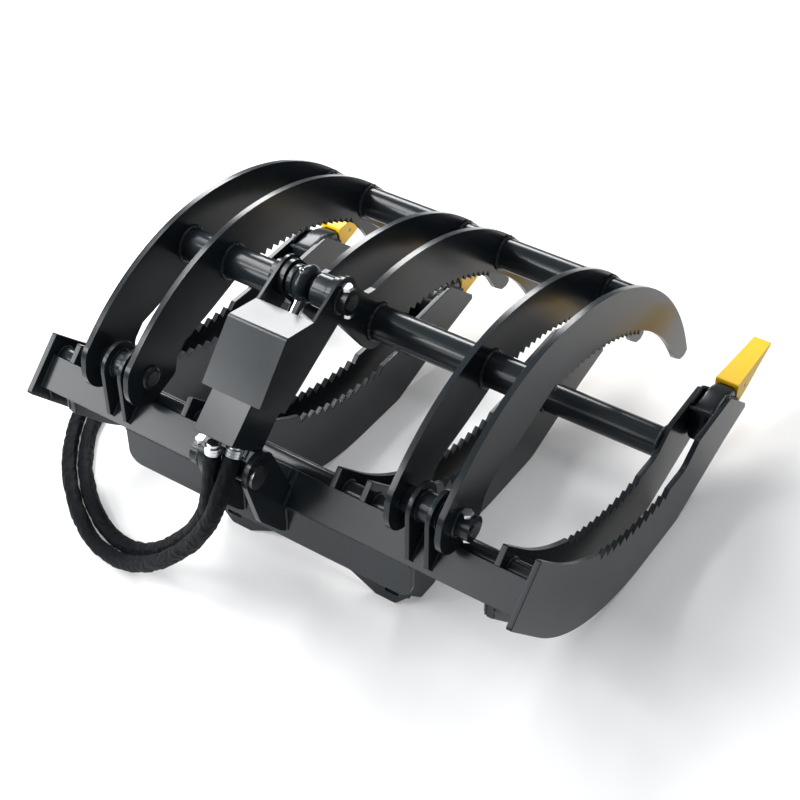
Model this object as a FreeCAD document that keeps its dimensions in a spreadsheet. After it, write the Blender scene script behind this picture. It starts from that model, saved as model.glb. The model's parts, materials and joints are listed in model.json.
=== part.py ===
"""Hydraulic log grapple for a compact loader, as a parametric FreeCAD document.

Frame: +X to the grapple's right, +Y forward along the tines, +Z up, millimetres.
The origin is on the floor under the middle of the machine.  Profiles are drawn in
(y, z) measured from the top rear corner of the tine plates; "rear_setback" and
"floor_drop" carry that corner into the machine's own frame.
"""
import FreeCAD, Part
import math
import os

import Sketcher

Vector = FreeCAD.Vector
Rotation = FreeCAD.Rotation
X_AXIS = Vector(1, 0, 0)
Y_AXIS = Vector(0, 1, 0)

DOC = FreeCAD.newDocument("log_grapple")

DIMENSIONS = [
    ("rear_setback", 443.4, "from the tines' rear corner back to the origin"),
    ("floor_drop", 398.0, "tines' rear corner above the floor"),
    ("tine_pitch", 350.0, "between neighbouring tines"),
    ("tine_spread", 66.0, "between the two plates of a tine"),
    ("jaw_offset", 350.0, "outer jaws, from the middle"),
    ("jaw_spread", 106.0, "between the two plates of an outer jaw"),
    ("middle_spread", 102.0, "between the two plates of the middle jaw"),
    ("plate_thickness", 12.0, "tine and jaw plates"),
    ("band_thickness", 10.0, "rear band"),
    ("ear_thickness", 9.5, "pivot ears"),
    ("ear_spread", 41.0, "between the two ears of a pivot"),
    ("hitch_thickness", 12.0, "hitch plates"),
    ("cheek_thickness", 8.0, "hitch cheeks"),
    ("lug_thickness", 12.0, "cylinder lugs"),
    ("lug_spread", 100.0, "between the cylinder lugs"),
    ("tube_radius", 34.0, "jaw and tine cross tubes"),
    ("tube_wall", 5.0, "cross tubes"),
    ("torsion_radius", 21.2, "rear cross bar"),
    ("torsion_wall", 4.0, "rear cross bar"),
    ("pin_radius", 15.0, "all pivot pins"),
    ("running_gap", 0.05, "pin in its bush"),
    ("boss_radius", 25.0, "locking bosses"),
    ("sleeve_radius", 28.0, "pivot sleeves between the ears"),
    ("spacer_radius", 27.0, "spacers on the pivot pins"),
    ("pivot_y", -21.0, "jaw pivot"),
    ("pivot_z", 27.0, "jaw pivot"),
    ("base_pin_y", -137.0, "cylinder base pin"),
    ("base_pin_z", 39.0, "cylinder base pin"),
    ("eye_pin_y", 126.0, "rod-eye pin"),
    ("eye_pin_z", 271.0, "rod-eye pin"),
    ("rear_tube_y", 245.0, "rear jaw tube"),
    ("rear_tube_z", 140.0, "rear jaw tube"),
    ("front_tube_y", 711.0, "front jaw tube"),
    ("front_tube_z", 22.0, "front jaw tube"),
    ("tine_tube_y", 660.0, "tine cross tubes"),
    ("tine_tube_z", -262.0, "tine cross tubes"),
    ("torsion_y", 7.0, "rear cross bar"),
    ("torsion_z", -60.0, "rear cross bar"),
    ("cylinder_x", -15.0, "cylinder's plane"),
    ("barrel_radius", 25.0, "cylinder barrel"),
    ("bore_radius", 20.0, "cylinder bore"),
    ("rod_radius", 12.5, "piston rod"),
    ("horn_bore_radius", 22.0, "middle jaw's bores, wide round the rod-eye pin"),
    ("cover_half_width", 63.6, "upper cover, outside"),
    ("strap_thickness", 6.0, "upper cover's side plates"),
    ("sheet_thickness", 3.0, "cover sheet"),
    ("lower_half_width", 43.5, "lower cover, outside"),
    ("tooth_width", 53.0, "digging tooth"),
    ("nose_width", 30.0, "adapter nose inside the tooth"),
    ("lock_pin_radius", 5.0, "tooth lock pin"),
    ("hose_radius", 15.0, "hose with its sleeve"),
    ("slot_centre", 198.0, "hitch slot, from the middle"),
    ("slot_length", 35.0, "hitch slot"),
    ("slot_width", 11.0, "hitch slot"),
]


def make_sheet():
    """The spreadsheet that holds the driving dimensions, one alias per row."""
    sheet = DOC.addObject("Spreadsheet::Sheet", "Dims")
    for row, (alias, value, note) in enumerate(DIMENSIONS, start=1):
        sheet.set("A%d" % row, alias)
        sheet.set("B%d" % row, str(value))
        sheet.set("C%d" % row, note)
        sheet.setAlias("B%d" % row, alias)
    DOC.recompute()
    return sheet


SHEET = make_sheet()
DIM = {alias: float(SHEET.get(alias)) for alias, _, _ in DIMENSIONS}
PARTS = {}

PIVOT = (DIM["pivot_y"], DIM["pivot_z"])
BASE_PIN = (DIM["base_pin_y"], DIM["base_pin_z"])
EYE_PIN = (DIM["eye_pin_y"], DIM["eye_pin_z"])
REAR_TUBE = (DIM["rear_tube_y"], DIM["rear_tube_z"])
FRONT_TUBE = (DIM["front_tube_y"], DIM["front_tube_z"])
TINE_TUBE = (DIM["tine_tube_y"], DIM["tine_tube_z"])
TORSION_BAR = (DIM["torsion_y"], DIM["torsion_z"])
CYLINDER_LENGTH = math.hypot(EYE_PIN[0] - BASE_PIN[0], EYE_PIN[1] - BASE_PIN[1])
CYLINDER_ANGLE = math.degrees(math.atan2(EYE_PIN[1] - BASE_PIN[1], EYE_PIN[0] - BASE_PIN[0]))


# ---------------------------------------------------------------- outlines

def polar(centre, radius, degrees):
    """Point at an angle on a circle."""
    angle = math.radians(degrees)
    return (centre[0] + radius * math.cos(angle), centre[1] + radius * math.sin(angle))


class Outline:
    """Closed outline of straight lines and arcs, drawn point by point."""

    def __init__(self, u, v):
        self.start = Vector(u, v, 0)
        self.here = self.start
        self.edges = []

    def line(self, u, v):
        target = Vector(u, v, 0)
        if (target - self.here).Length > 1e-6:
            self.edges.append(Part.LineSegment(self.here, target))
            self.here = target
        return self

    def arc(self, middle, end):
        target = Vector(end[0], end[1], 0)
        self.edges.append(Part.Arc(self.here, Vector(middle[0], middle[1], 0), target))
        self.here = target
        return self

    def swing(self, centre, radius, start_angle, end_angle):
        """Line to the start of an arc about a centre, then the arc."""
        self.line(*polar(centre, radius, start_angle))
        middle = polar(centre, radius, (start_angle + end_angle) / 2)
        return self.arc(middle, polar(centre, radius, end_angle))

    def corners(self, points):
        """Straight runs whose corners are rounded: (u, v, radius) each."""
        for index, (u, v, radius) in enumerate(points):
            corner = Vector(u, v, 0)
            if radius <= 0 or index == len(points) - 1:
                self.line(u, v)
                continue
            following = Vector(points[index + 1][0], points[index + 1][1], 0)
            back = (self.here - corner).normalize()
            ahead = (following - corner).normalize()
            half = back.getAngle(ahead) / 2
            reach = radius / math.tan(half)
            middle_way = (back + ahead).normalize()
            middle = corner + middle_way * (radius / math.sin(half) - radius)
            start = corner + back * reach
            end = corner + ahead * reach
            self.line(start.x, start.y)
            self.arc((middle.x, middle.y), (end.x, end.y))
        return self

    def teeth(self, centre, crest, root, start_angle, end_angle, count, lean):
        """Saw teeth along an arc; lean is the share of the pitch before the root."""
        step = (end_angle - start_angle) / count
        for index in range(count):
            angle = start_angle + step * index
            self.line(*polar(centre, crest, angle))
            self.line(*polar(centre, root, angle + step * lean))
        self.line(*polar(centre, crest, end_angle))
        return self

    def closed(self):
        self.line(self.start.x, self.start.y)
        return self.edges


def ring(points):
    """Closed outline whose every corner is rounded, from (u, v, radius)."""
    first = points[0]
    last = points[-1]
    outline = Outline((first[0] + last[0]) / 2, (first[1] + last[1]) / 2)
    outline.corners(list(points) + [(outline.start.x, outline.start.y, 0)])
    return outline.closed()


# ---------------------------------------------------------------- features

def place(item, x="0", y="0", z="0", rotation=None):
    """Bind a placement to the sheet; y and z are measured from the tines' rear corner."""
    if rotation is not None:
        item.Placement = FreeCAD.Placement(Vector(0, 0, 0), rotation)
    item.setExpression("Placement.Base.x", str(x))
    item.setExpression("Placement.Base.y", "%s - Dims.rear_setback" % y)
    item.setExpression("Placement.Base.z", "%s + Dims.floor_drop" % z)
    return item


def keep(node, item):
    """Register a finished piece under its node name."""
    item.Label = node
    PARTS[node] = item
    return item


def origin_plane(body, role):
    for feature in body.Origin.OriginFeatures:
        if feature.Role == role:
            return feature
    raise ValueError(role)


def sketch_in(body, name, role, edges, holes=()):
    """Sketch on an origin plane, with round holes whose radii follow the sheet."""
    sketch = body.newObject("Sketcher::SketchObject", name)
    sketch.AttachmentSupport = [(origin_plane(body, role), "")]
    sketch.MapMode = "FlatFace"
    sketch.addGeometry(list(edges))
    for (u, v), alias in holes:
        circle = Part.Circle(Vector(u, v, 0), Vector(0, 0, 1), DIM[alias])
        index = sketch.addGeometry(circle)
        constraint = sketch.addConstraint(Sketcher.Constraint("Radius", index, DIM[alias]))
        sketch.setExpression("Constraints[%d]" % constraint, "Dims.%s" % alias)
    return sketch


def padded(name, edges, thickness, holes=(), role="YZ_Plane", middle=False):
    """A flat piece: one sketch, one pad."""
    body = DOC.addObject("PartDesign::Body", name)
    pad = body.newObject("PartDesign::Pad", name + "_pad")
    pad.Profile = sketch_in(body, name + "_outline", role, edges, holes)
    pad.Midplane = middle
    pad.setExpression("Length", thickness)
    body.Tip = pad
    return body


def pocket(body, name, edges, width, role="YZ_Plane", holes=()):
    """Cut outlines or holes through the middle plane of a body, and check that they cut."""
    DOC.recompute()
    before = body.Shape.Volume
    cut = body.newObject("PartDesign::Pocket", name)
    cut.Profile = sketch_in(body, name + "_outline", role, edges, holes)
    cut.Midplane = True
    cut.setExpression("Length", width)
    body.Tip = cut
    DOC.recompute()
    if body.Shape.Volume > before - 1:
        raise RuntimeError("%s cuts nothing" % name)
    return body


def turned(name, points):
    """Turned piece about its own length, from (along, radius) points."""
    body = DOC.addObject("PartDesign::Body", name)
    outline = Outline(*points[0])
    for point in points[1:]:
        outline.line(*point)
    turn = body.newObject("PartDesign::Revolution", name + "_turn")
    sketch = sketch_in(body, name + "_outline", "XY_Plane", outline.closed())
    turn.Profile = sketch
    turn.ReferenceAxis = (sketch, ["H_Axis"])
    turn.Angle = 360
    body.Tip = turn
    return body


def plate(node, edges, x, thickness="Dims.plate_thickness", holes=()):
    """A plate in the (y, z) plane whose middle lies at x."""
    body = padded(node, edges, thickness, holes, middle=True)
    return keep(node, place(body, x))


def rod_along_x(name, radius, start, end, at):
    """Cylinder along X from start to end, about the point (y, z)."""
    item = DOC.addObject("Part::Cylinder", name)
    item.setExpression("Radius", str(radius))
    item.setExpression("Height", "(%s) - (%s)" % (end, start))
    return place(item, start, at[0], at[1], Rotation(Y_AXIS, 90))


def tube_along_x(name, outer, inner, start, end, at):
    """Round tube along X."""
    item = DOC.addObject("Part::Cut", name)
    item.Base = rod_along_x(name + "_outside", outer, start, end, at)
    item.Tool = rod_along_x(name + "_bore", inner, start, end, at)
    return item


def fused(name, items):
    """Pieces welded into one."""
    weldment = DOC.addObject("Part::MultiFuse", name)
    weldment.Shapes = items
    return weldment


def group(node, items):
    """Several separate solids in one node."""
    compound = DOC.addObject("Part::Compound", node)
    compound.Links = items
    return keep(node, compound)


def about(name):
    """Axis point of a pin or tube, as sheet expressions."""
    return ("Dims.%s_y" % name, "Dims.%s_z" % name)


# ---------------------------------------------------------------- tines

TINE_TOP_CENTRE = (551.0, 441.0)
TINE_CREST_RADIUS = 700.0
TINE_ROOT_RADIUS = 715.0
TINE_TIP = [(612, -259, 50), (668, -220, 30), (812, -211, 25), (909, -292, 4), (911, -305, 3),
            (812, -329, 150), (600, -398, 60), (186, -398, 600)]
TINE_REAR = [(-31, -25, 2), (-2, 4, 3)]
TINE_START = (20.0, -18.0)
BAND_TOP_REAR = (-18.0, -38.0)
BAND_TOP_FRONT = (-11.0, -45.0)
BAND_LOW_FRONT = (-60.0, -94.0)
BAND_LOW_REAR = (-67.0, -87.0)
HITCH_REAR = -60.0
HITCH_FRONT = HITCH_REAR + DIM["hitch_thickness"]


def angle_at(centre, y, radius, side=-1):
    """Angle on a circle where it passes over y; side -1 is the lower half."""
    return side * math.degrees(math.acos((y - centre[0]) / radius))


def tine_top():
    """Sloping start of the top edge, then its arc with eleven saw teeth."""
    start = angle_at(TINE_TOP_CENTRE, 56.0, TINE_CREST_RADIUS)
    first = angle_at(TINE_TOP_CENTRE, 237.0, TINE_CREST_RADIUS)
    last = angle_at(TINE_TOP_CENTRE, 540.0, TINE_CREST_RADIUS)
    outline = Outline(*TINE_START)
    outline.swing(TINE_TOP_CENTRE, TINE_CREST_RADIUS, start, first)
    outline.teeth(TINE_TOP_CENTRE, TINE_CREST_RADIUS, TINE_ROOT_RADIUS, first, last, 11, 0.43)
    return outline


def outer_tine_profile():
    """Outermost plates: their rear edge stands behind the band."""
    outline = tine_top()
    outline.corners(TINE_TIP + [(-97, -87, 6), (-2, 4, 3), TINE_START + (0,)])
    return outline.closed()


def inner_tine_profile():
    """Inner plates: cut back to the hitch plate and to the front of the band."""
    belly_end = -140.9
    notch = [(HITCH_FRONT, belly_end, 0), (HITCH_FRONT, HITCH_FRONT - 34, 0), BAND_TOP_FRONT + (0,)]
    outline = tine_top()
    outline.corners(TINE_TIP + notch + TINE_REAR + [TINE_START + (0,)])
    return outline.closed()


def tine_plates():
    """Four tines of two plates each."""
    for number in range(1, 5):
        for side, sign in (("left", "-"), ("right", "+")):
            node = "tine_%d_%s_plate" % (number, side)
            outermost = node in ("tine_1_left_plate", "tine_4_right_plate")
            x = "Dims.tine_pitch * %s %s Dims.tine_spread / 2" % (number - 2.5, sign)
            if outermost:
                plate(node, outer_tine_profile(), x)
            else:
                plate(node, inner_tine_profile(), x, holes=[(TORSION_BAR, "torsion_radius")])


ADAPTER = [(790, -214, 0), (812, -213, 6), (880, -238, 0), (880, -288, 0), (812, -322, 8), (790, -314, 0)]
NOSE = [(880, -238, 0), (975, -244, 6), (975, -258, 6), (880, -283, 0)]
TOOTH = [(880, -229, 4), (1066, -236, 2), (1066, -244, 2), (1000, -262, 30), (944, -280, 30), (880, -291, 4)]
TOOTH_TIP_HALF_WIDTH = 20.0
LOCK_PIN = (925.0, -259.0)


def tooth_sets():
    """Adapter welded between the tips of each tine, tooth on its nose, lock pin through both."""
    half = DIM["tooth_width"] / 2
    rear, tip = TOOTH[0][0], TOOTH[1][0]
    flanks = []
    for sign in (-1, 1):
        flank = Outline(sign * half, rear)
        flank.line(sign * TOOTH_TIP_HALF_WIDTH, tip + 1).line(sign * (half + 5), tip + 1)
        flanks += flank.line(sign * (half + 5), rear).closed()
    adapters = []
    pins = []
    for number in range(1, 5):
        x = "Dims.tine_pitch * %s" % (number - 2.5)
        adapter = padded("adapter_%d" % number, ring(ADAPTER),
                         "Dims.tine_spread - Dims.plate_thickness", middle=True)
        nose = adapter.newObject("PartDesign::Pad", "nose_%d" % number)
        nose.Profile = sketch_in(adapter, "nose_outline_%d" % number, "YZ_Plane", ring(NOSE),
                                 [(LOCK_PIN, "lock_pin_radius")])
        nose.Midplane = True
        nose.setExpression("Length", "Dims.nose_width")
        adapter.Tip = nose
        adapters.append(place(adapter, x))
        tooth = padded("tooth_%d" % number, ring(TOOTH), "Dims.tooth_width",
                       [(LOCK_PIN, "lock_pin_radius")], middle=True)
        pocket(tooth, "tooth_%d_socket" % number, ring(NOSE), "Dims.nose_width")
        pocket(tooth, "tooth_%d_flanks" % number, flanks, "Dims.floor_drop * 2", role="XY_Plane")
        keep("tooth_%d" % number, place(tooth, x))
        pins.append(rod_along_x("lock_pin_%d" % number, "Dims.lock_pin_radius",
                                "%s - Dims.tooth_width / 2 + 2" % x,
                                "%s + Dims.tooth_width / 2 - 2" % x, LOCK_PIN))
    group("tooth_adapters", adapters)
    group("tooth_lock_pins", pins)


def tine_tubes():
    """Cross tubes near the tips, one between each pair of neighbouring tines."""
    reach = "(Dims.tine_pitch - Dims.tine_spread - Dims.plate_thickness) / 2"
    for number in range(1, 4):
        node = "tine_cross_tube_%d" % number
        middle = "Dims.tine_pitch * %d" % (number - 2)
        keep(node, tube_along_x(node, "Dims.tube_radius", "Dims.tube_radius - Dims.tube_wall",
                                "%s - %s" % (middle, reach), "%s + %s" % (middle, reach),
                                about("tine_tube")))


# ---------------------------------------------------------------- rear frame

def rear_band():
    """Sloping band between the outermost tine plates, and the cross bar in front of it."""
    reach = "(Dims.tine_pitch * 1.5 + Dims.tine_spread / 2 - Dims.plate_thickness / 2)"
    edges = ring([corner + (0,) for corner in (BAND_TOP_REAR, BAND_LOW_REAR, BAND_LOW_FRONT, BAND_TOP_FRONT)])
    keep("rear_band", place(padded("rear_band", edges, "2 * %s" % reach, middle=True)))
    keep("rear_cross_bar", tube_along_x("rear_cross_bar", "Dims.torsion_radius",
                                        "Dims.torsion_radius - Dims.torsion_wall",
                                        "-%s" % reach, reach, about("torsion")))


LUG_HALF = [(240, -272, 0), (240, -366, 6), (234, -366, 0), (205, -398, 12), (158, -398, 12), (97, -366, 14)]
SLOT_Z = -370.0
TINE_NOTCH_TOP = -279.2
CHEEK = [(92, -285, 0), (92, -368, 4), (122, -398, 14), (175, -398, 20), (215, -340, 10), (150, -300, 14)]


def hitch_openings():
    """Two level slots in the lugs, and the notches that the middle tines stand in."""
    edges = []
    for sign in (-1, 1):
        middle = sign * DIM["slot_centre"]
        radius = DIM["slot_width"] / 2
        straight = DIM["slot_length"] / 2 - radius
        slot = Outline(middle - straight, SLOT_Z + radius)
        slot.line(middle + straight, SLOT_Z + radius)
        slot.arc((middle + straight + radius, SLOT_Z), (middle + straight, SLOT_Z - radius))
        slot.line(middle - straight, SLOT_Z - radius)
        slot.arc((middle - straight - radius, SLOT_Z), (middle - straight, SLOT_Z + radius))
        edges += slot.edges
    reach = DIM["plate_thickness"] / 2 + 0.1
    for tine in (-0.5, 0.5):
        for side in (-0.5, 0.5):
            x = DIM["tine_pitch"] * tine + DIM["tine_spread"] * side
            edges += ring([(x - reach, -260, 0), (x + reach, -260, 0),
                           (x + reach, TINE_NOTCH_TOP, 0), (x - reach, TINE_NOTCH_TOP, 0)])
    return edges


def hitch():
    """Hook-over plate under the band, slotted lug plate below the tines, and its cheeks."""
    upper = ring([(-335, -94, 0), (335, -94, 0), (335, -181, 30), (-335, -181, 30)])
    hook = padded("hitch_hook_plate", upper, "Dims.hitch_thickness", role="XZ_Plane")
    keep("hitch_hook_plate", place(hook, y=str(HITCH_FRONT)))
    mirrored = [(-u, v, radius) for u, v, radius in reversed(LUG_HALF)]
    lugs = padded("hitch_lug_plate", ring(LUG_HALF + mirrored), "Dims.hitch_thickness", role="XZ_Plane")
    pocket(lugs, "hitch_openings", hitch_openings(), "Dims.hitch_thickness * 3", role="XZ_Plane")
    keep("hitch_lug_plate", place(lugs, y="80 + Dims.hitch_thickness"))
    cheeks = []
    for side, sign in (("left", "-"), ("right", "")):
        cheek = padded("cheek_%s" % side, ring(CHEEK), "Dims.cheek_thickness", middle=True)
        cheeks.append(place(cheek, "%s(Dims.slot_centre + 38)" % sign))
    group("hitch_cheeks", cheeks)


EAR_RADIUS = 45.0
EAR_POINT = (-60.0, -80.0)


def pivot_ears():
    """Pointed ears on the band, and the sleeves that the jaw pins turn in."""
    rear = PIVOT[0] - EAR_RADIUS
    outline = Outline(rear, PIVOT[1])
    outline.arc((PIVOT[0], PIVOT[1] + EAR_RADIUS), (PIVOT[0] + EAR_RADIUS, PIVOT[1]))
    outline.corners([(22, -18, 14), (-8, -28, 6), BAND_TOP_REAR + (0,), EAR_POINT + (0,), (rear, -72, 4),
                     (rear, PIVOT[1], 0)])
    edges = outline.closed()
    reach = "(Dims.ear_spread + Dims.ear_thickness) / 2"
    sleeves = []
    for name, middle in (("left", "-Dims.jaw_offset"), ("right", "Dims.jaw_offset")):
        for side, sign in (("a", "-"), ("b", "+")):
            plate("%s_pivot_ear_%s" % (name, side), edges, "%s %s Dims.ear_spread / 2" % (middle, sign),
                  "Dims.ear_thickness", [(PIVOT, "sleeve_radius")])
        sleeves.append(tube_along_x("%s_sleeve" % name, "Dims.sleeve_radius",
                                    "Dims.pin_radius + Dims.running_gap",
                                    "%s - %s" % (middle, reach), "%s + %s" % (middle, reach),
                                    about("pivot")))
    group("pivot_sleeves", sleeves)


CYLINDER_LUG = [(-97, 79, 40), (-177, 79, 40), (-134, -77, 30), (-82, -141, 0), (-60, -163, 5),
                (-60, -94, 0), (-67, -87, 0), (-40, -60, 0)]


def cylinder_lugs():
    """Two lugs on the band that carry the cylinder's base pin."""
    for side, sign in (("left", "-"), ("right", "")):
        plate("cylinder_lug_%s" % side, ring(CYLINDER_LUG), "%sDims.lug_spread / 2" % sign,
              "Dims.lug_thickness", [(BASE_PIN, "pin_radius")])


# ---------------------------------------------------------------- jaws

JAW_TOP = (320.0, 223.0)
JAW_REAR_CENTRE = (294.0, -292.0)
JAW_REAR_RADIUS = 515.7
JAW_FRONT_CENTRE = (286.0, -451.0)
JAW_FRONT_RADIUS = 674.9
JAW_INNER_CENTRE = (318.0, -523.0)
JAW_INNER_RADIUS = 627.0
JAW_CREST_RADIUS = 618.0
JAW_ROOT_RADIUS = 631.0
PIVOT_LOBE_RADIUS = 62.0
TUBE_LOBE_RADIUS = 55.0
HORN_RADIUS = 37.0
HORN_TANGENT = -143.6


def jaw_front():
    """From the top over the back of the jaw, round the hooked tip, and along its saw teeth."""
    outline = Outline(*JAW_TOP)
    outline.swing(JAW_FRONT_CENTRE, JAW_FRONT_RADIUS,
                  angle_at(JAW_FRONT_CENTRE, JAW_TOP[0], JAW_FRONT_RADIUS, 1),
                  angle_at(JAW_FRONT_CENTRE, 912.0, JAW_FRONT_RADIUS, 1))
    hook_end = angle_at(JAW_INNER_CENTRE, 857.0, JAW_INNER_RADIUS, 1)
    first_tooth = angle_at(JAW_INNER_CENTRE, 656.0, JAW_INNER_RADIUS, 1)
    last_tooth = angle_at(JAW_INNER_CENTRE, 303.0, JAW_INNER_RADIUS, 1)
    outline.corners([(921, -221, 7), (905, -228, 7), (886, -225, 6),
                     polar(JAW_INNER_CENTRE, JAW_INNER_RADIUS, hook_end) + (0,)])
    outline.swing(JAW_INNER_CENTRE, JAW_INNER_RADIUS, hook_end, first_tooth)
    outline.teeth(JAW_INNER_CENTRE, JAW_CREST_RADIUS, JAW_ROOT_RADIUS, first_tooth, last_tooth, 17, 0.67)
    return outline


def close_over_back(outline):
    """Rear part of the back, up to the top."""
    start = outline.here.x
    top = angle_at(JAW_REAR_CENTRE, JAW_TOP[0], JAW_REAR_RADIUS, 1)
    outline.swing(JAW_REAR_CENTRE, JAW_REAR_RADIUS, angle_at(JAW_REAR_CENTRE, start, JAW_REAR_RADIUS, 1), top)
    return outline.closed()


def outer_jaw_profile():
    """Jaw plate that turns on the pivot: the rear end is a lobe round the pin."""
    outline = jaw_front()
    outline.line(302, 113)
    outline.arc((186, 71), (85, 44))
    outline.corners([(60, 20, 15), (50, -12, 12), polar(PIVOT, PIVOT_LOBE_RADIUS, -60) + (0,)])
    outline.arc(polar(PIVOT, PIVOT_LOBE_RADIUS, -127.5), polar(PIVOT, PIVOT_LOBE_RADIUS, -195))
    outline.arc((-77, 62), (-66, 79))
    return close_over_back(outline)


def middle_jaw_profile():
    """Middle jaw plate: a lobe under the rear tube and a horn up to the rod-eye pin."""
    outline = jaw_front()
    outline.line(303, 110)
    outline.swing(REAR_TUBE, TUBE_LOBE_RADIUS, -72, HORN_TANGENT)
    outline.swing(EYE_PIN, HORN_RADIUS, HORN_TANGENT, HORN_TANGENT - 175.5)
    outline.corners([(210, 226, 14), (238, 220.8, 0)])
    return close_over_back(outline)


def jaw_plates():
    """Two outer jaws of two plates each, and the middle jaw of two plates."""
    for name, sign, outward in (("left", "-", "-"), ("right", "", "+")):
        inward = "+" if outward == "-" else "-"
        x = "%sDims.jaw_offset %s Dims.jaw_spread / 2"
        plate("%s_jaw_outer_plate" % name, outer_jaw_profile(), x % (sign, outward),
              holes=[(PIVOT, "pin_radius")])
        inner = plate("%s_jaw_inner_plate" % name, outer_jaw_profile(), x % (sign, inward),
                      holes=[(PIVOT, "pin_radius")])
        middle = plate("middle_jaw_%s_plate" % name, middle_jaw_profile(), "%sDims.middle_spread / 2" % sign,
                       holes=[(EYE_PIN, "horn_bore_radius")])
        for body in (inner, middle):
            for tube, centre in (("rear", REAR_TUBE), ("front", FRONT_TUBE)):
                pocket(body, "%s_%s_tube_hole" % (body.Label, tube), [], "3 * Dims.plate_thickness",
                       holes=[(centre, "tube_radius")])


def jaw_tubes():
    """Two cross tubes through the jaw plates, ending on the outermost plates."""
    reach = "(Dims.jaw_offset + (Dims.jaw_spread - Dims.plate_thickness) / 2)"
    for name in ("rear", "front"):
        node = "%s_jaw_tube" % name
        keep(node, tube_along_x(node, "Dims.tube_radius", "Dims.tube_radius - Dims.tube_wall",
                                "-%s" % reach, reach, about(name + "_tube")))


# ---------------------------------------------------------------- pins and bosses

BOLT_RADIUS = 6.0
HEX_RADIUS = 11.0
HEX_HEIGHT = 8.0
FLATS_ACROSS_X = Rotation(Vector(0, 0, 1), 30)
BOLT_END = 4.0


def drilled(node, blank, x, at):
    """Upright cross hole for the locking bolt, through a boss or a pin."""
    drill = DOC.addObject("Part::Cylinder", node + "_drill")
    drill.Radius = BOLT_RADIUS
    drill.setExpression("Height", "4 * Dims.boss_radius")
    place(drill, x, at[0], "%s - 2 * Dims.boss_radius" % at[1])
    cut = DOC.addObject("Part::Cut", node + "_drilled")
    cut.Base = blank
    cut.Tool = drill
    return cut


def cross_bolt(name, x, at):
    """Upright bolt with its nut, through a locking boss about the point (y, z)."""
    shank = DOC.addObject("Part::Cylinder", name + "_shank")
    shank.Radius = BOLT_RADIUS
    below = HEX_HEIGHT + BOLT_END
    shank.setExpression("Height", "2 * Dims.boss_radius + %s" % below)
    pieces = [place(shank, x, at[0], "%s - Dims.boss_radius - %s" % (at[1], below))]
    for end, start in (("head", "Dims.boss_radius"), ("nut", "(-Dims.boss_radius - %s)" % HEX_HEIGHT)):
        hexagon = DOC.addObject("Part::Prism", "%s_%s" % (name, end))
        hexagon.Polygon = 6
        hexagon.Circumradius = HEX_RADIUS
        hexagon.Height = HEX_HEIGHT
        pieces.append(place(hexagon, x, at[0], "%s + %s" % (at[1], start), FLATS_ACROSS_X))
    return fused(name, pieces)


PIVOT_BOSS_LENGTH = 31.0
PIN_STAND_OUT = 4.0
PIN_WELDED_END = 10.0


def jaw_pivots():
    """Jaw pins: welded to the inner plate of a jaw, locked by a bolt in a boss on the outer plate."""
    at = about("pivot")
    inner_face = "(Dims.jaw_spread - Dims.plate_thickness) / 2"
    outer_face = "(Dims.jaw_spread + Dims.plate_thickness) / 2"
    ear_face = "(Dims.ear_spread + Dims.ear_thickness) / 2"
    spacers, bosses, bolts = [], [], []
    for name, middle, outward in (("left", "-Dims.jaw_offset", "-"), ("right", "Dims.jaw_offset", "+")):
        spacers.append(tube_along_x("%s_spacer_a" % name, "Dims.spacer_radius", "Dims.pin_radius",
                                    "%s - %s" % (middle, inner_face), "%s - %s - 0.5" % (middle, ear_face), at))
        spacers.append(tube_along_x("%s_spacer_b" % name, "Dims.spacer_radius", "Dims.pin_radius",
                                    "%s + %s + 0.5" % (middle, ear_face), "%s + %s" % (middle, inner_face), at))
        near = "%s %s %s" % (middle, outward, outer_face)
        far = "%s %s %s" % (near, outward, PIVOT_BOSS_LENGTH)
        bolt_x = "%s %s %s" % (near, outward, PIVOT_BOSS_LENGTH / 2)
        start, end = (far, near) if outward == "-" else (near, far)
        boss = tube_along_x("%s_boss" % name, "Dims.boss_radius", "Dims.pin_radius", start, end, at)
        bosses.append(drilled("%s_boss" % name, boss, bolt_x, at))
        locked = "(%s + %s)" % (outer_face, PIVOT_BOSS_LENGTH + PIN_STAND_OUT)
        welded = "(%s + %s)" % (outer_face, PIN_WELDED_END)
        below, above = (locked, welded) if outward == "-" else (welded, locked)
        pin = rod_along_x("%s_pin" % name, "Dims.pin_radius", "%s - %s" % (middle, below),
                          "%s + %s" % (middle, above), at)
        keep("%s_pivot_pin" % name, drilled("%s_pin" % name, pin, bolt_x, at))
        bolts.append(cross_bolt("%s_bolt" % name, bolt_x, at))
    group("pivot_spacers", spacers)
    group("pivot_bosses", bosses)
    group("pivot_bolts", bolts)


FOOT_HALF = 15.0
BASE_BOSS_LENGTH = 20.0
BASE_SPACER_RADIUS = 18.0


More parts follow.
